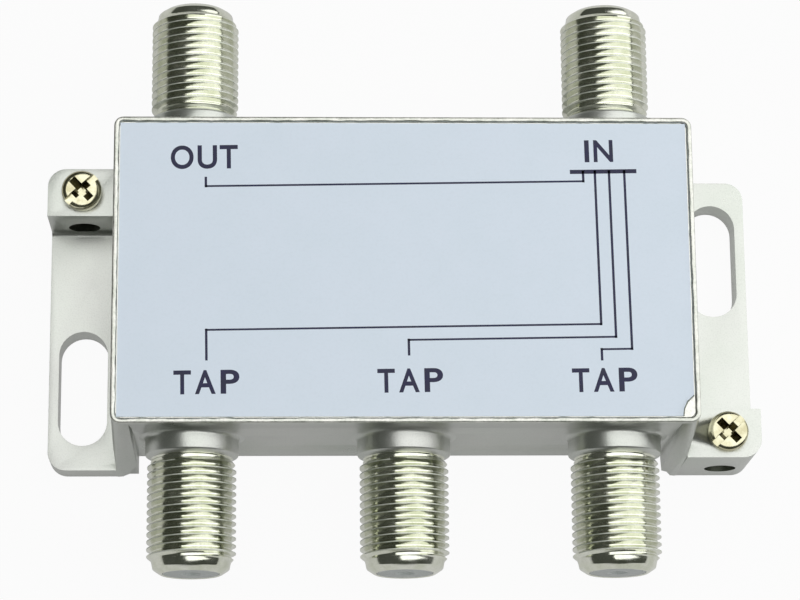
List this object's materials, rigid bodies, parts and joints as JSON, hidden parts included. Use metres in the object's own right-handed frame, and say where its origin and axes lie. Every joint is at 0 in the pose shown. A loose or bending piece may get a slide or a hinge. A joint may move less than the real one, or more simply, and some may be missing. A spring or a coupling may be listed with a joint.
{
  "type": "cable television tap",
  "caption": "Cast box with threaded coaxial ports on two sides, a labelled cover, two slotted mounting ears and screw earthing blocks.",
  "frame": {"origin": "centre of the box's back face, on the surface it rests on", "axes": "+Z out of the label, +Y from the tap side to the line side, +X to the right when the label is read"},
  "size_m": [0.0766, 0.0624, 0.018],
  "materials": {
    "cast_zinc": "nickel plated zinc casting, satin with a fine grain",
    "tinned_steel": "tinned sheet",
    "label_film": "printed film, matt",
    "screw_brass": "nickel washed brass",
    "board_laminate": "phenolic laminate",
    "white_plastic": "moulded",
    "contact_bronze": "bright strip",
    "ferrite": "matt",
    "enamelled_copper": "enamelled",
    "capacitor_ceramic": "dipped",
    "resistor_ceramic": "lacquered"
  },
  "bodies": {
    "tap_body": {"housing": "cast_zinc", "cover_plate": "tinned_steel", "label": "label_film", "circuit_board": "board_laminate", "insulator_out": "white_plastic", "contact_out": "contact_bronze", "insulator_in": "white_plastic", "contact_in": "contact_bronze", "insulator_tap_1": "white_plastic", "contact_tap_1": "contact_bronze", "insulator_tap_2": "white_plastic", "contact_tap_2": "contact_bronze", "insulator_tap_3": "white_plastic", "contact_tap_3": "contact_bronze", "coupler_core_1": "ferrite", "coupler_winding_1": "enamelled_copper", "coupler_core_2": "ferrite", "coupler_winding_2": "enamelled_copper", "splitter_core_1": "ferrite", "splitter_winding_1": "enamelled_copper", "capacitor_1": "capacitor_ceramic", "resistor_1": "resistor_ceramic", "splitter_core_2": "ferrite", "splitter_winding_2": "enamelled_copper", "capacitor_2": "capacitor_ceramic", "resistor_2": "resistor_ceramic", "splitter_core_3": "ferrite", "splitter_winding_3": "enamelled_copper", "capacitor_3": "capacitor_ceramic", "resistor_3": "resistor_ceramic"},
    "left_screw": {"left_earthing_screw": "screw_brass"},
    "right_screw": {"right_earthing_screw": "screw_brass"}
  },
  "joints": [
    {"name": "left_screw_travel", "type": "slide", "parent": "tap_body", "child": "left_screw", "axis": [0, 0, 1], "range_m": [0, 0.0031]},
    {"name": "right_screw_travel", "type": "slide", "parent": "tap_body", "child": "right_screw", "axis": [0, 0, 1], "range_m": [0, 0.0031]}
  ]
}
